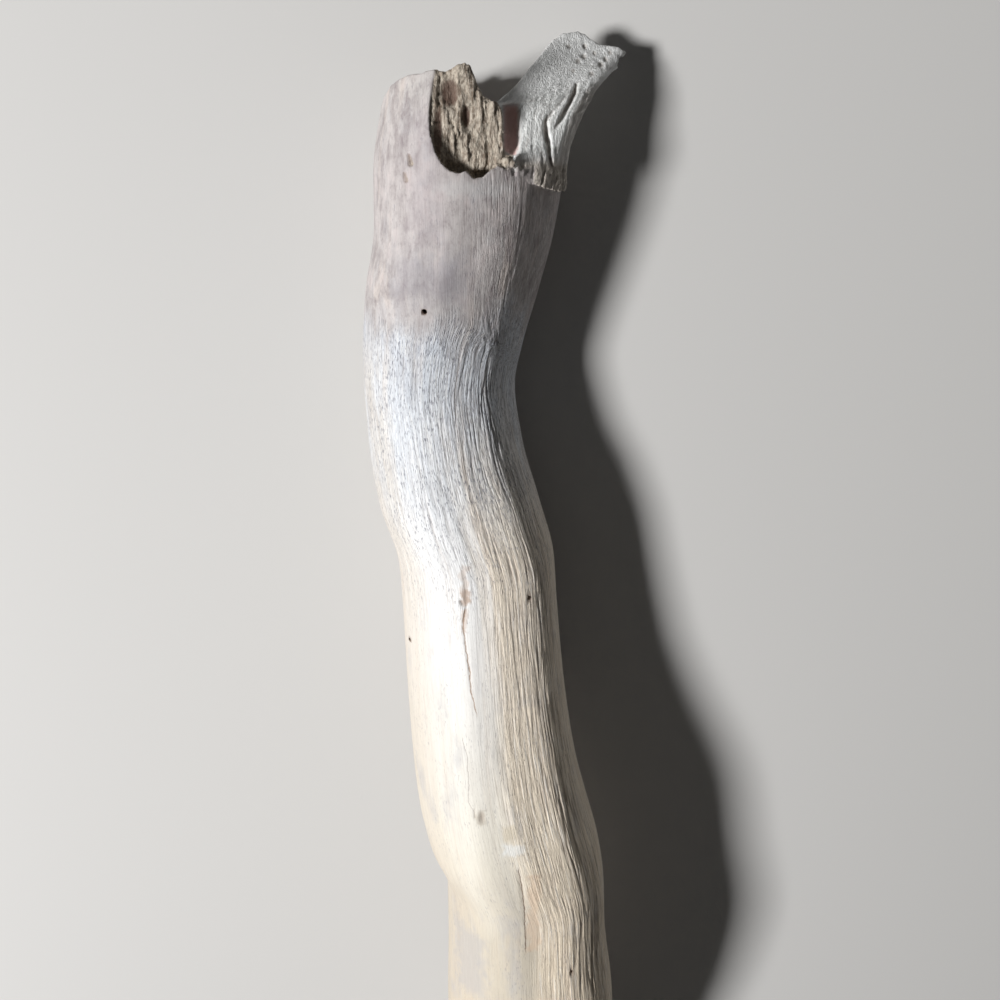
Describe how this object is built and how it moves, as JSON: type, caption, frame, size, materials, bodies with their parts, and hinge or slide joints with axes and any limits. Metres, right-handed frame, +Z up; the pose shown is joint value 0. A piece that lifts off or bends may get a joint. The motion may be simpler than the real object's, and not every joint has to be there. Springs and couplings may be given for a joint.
{
  "type": "driftwood",
  "caption": "Bleached, S-bent driftwood limb that arches off its surface, with a broken stub and a hollowed leaning prong at the fork end.",
  "frame": {"origin": "centre of the part's box across and along, on the surface it lies on", "axes": "+Z up, +Y along the limb towards the fork, +X to the side the prong leans to"},
  "size_m": [0.0644, 0.3438, 0.063],
  "materials": {
    "limb_wood": "bare, bleached and sea-worn, matt",
    "prong_wood": "bare, grey weathered fracture, matt"
  },
  "bodies": {
    "root": {"trunk": "limb_wood", "prong": "prong_wood"}
  },
  "joints": []
}
